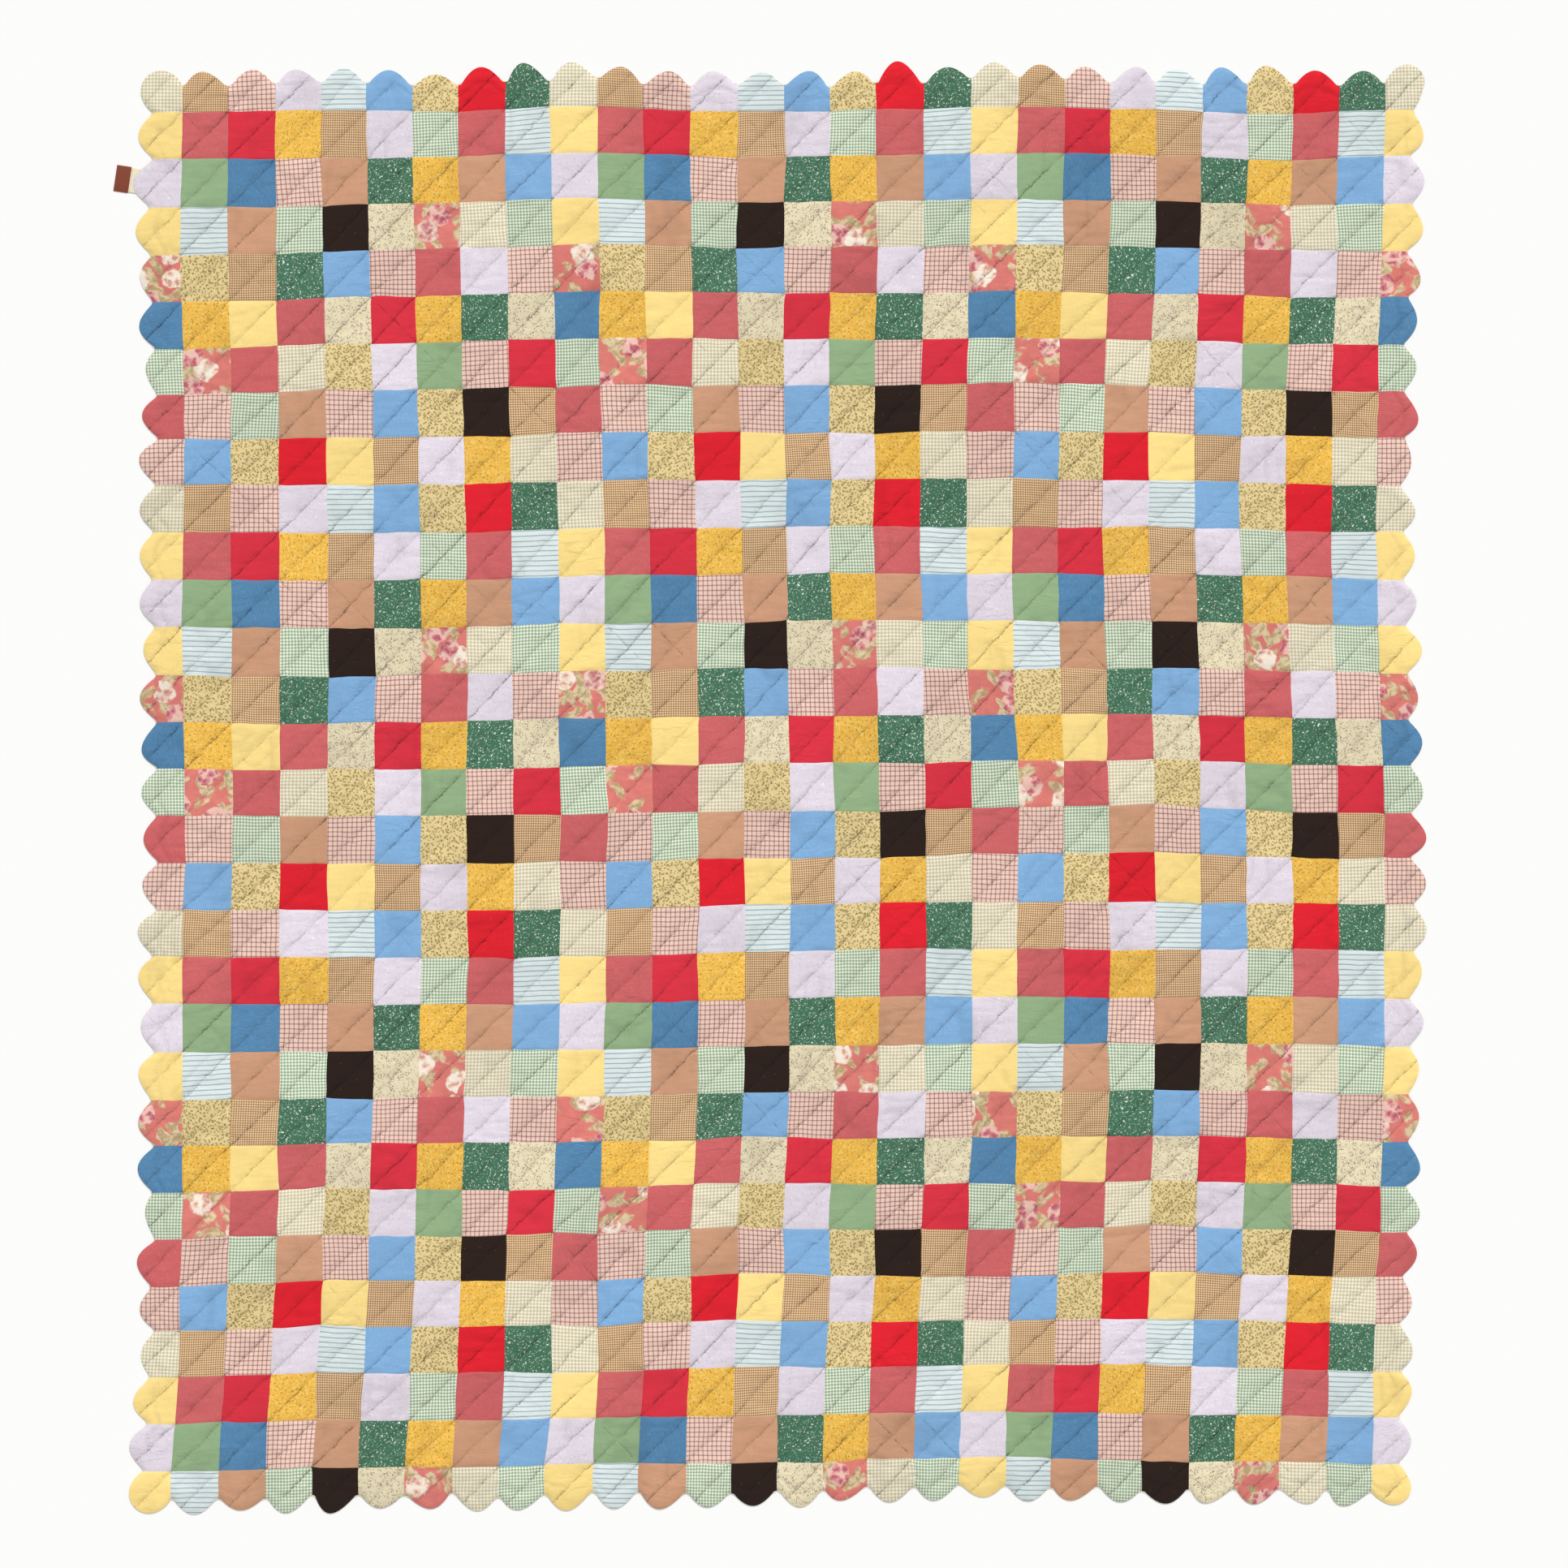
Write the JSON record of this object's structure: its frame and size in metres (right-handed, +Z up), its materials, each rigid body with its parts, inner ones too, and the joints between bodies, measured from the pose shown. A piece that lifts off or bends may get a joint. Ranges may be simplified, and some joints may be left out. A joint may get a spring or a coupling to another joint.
{
  "type": "patchwork quilt",
  "caption": "Square-patch cotton quilt with scalloped edges, quilted in slanting lines and laid out flat, with a blank woven label at its left side.",
  "frame": {"origin": "middle of the patchwork grid, on the flat underside", "axes": "+X across the quilt to the right, +Y up the quilt to its top edge, +Z up through its thickness"},
  "size_m": [1.9695, 2.1796, 0.0074],
  "materials": {
    "patchwork_cotton": "washed patchwork of plain, checked, striped and flowered cotton, matt",
    "russet_label": "woven russet-brown label, matt, blank",
    "cream_tape": "plain cream cotton tape, matt"
  },
  "bodies": {
    "root": {"quilt_body": "patchwork_cotton", "label": "russet_label", "label_tape": "cream_tape"}
  },
  "joints": []
}
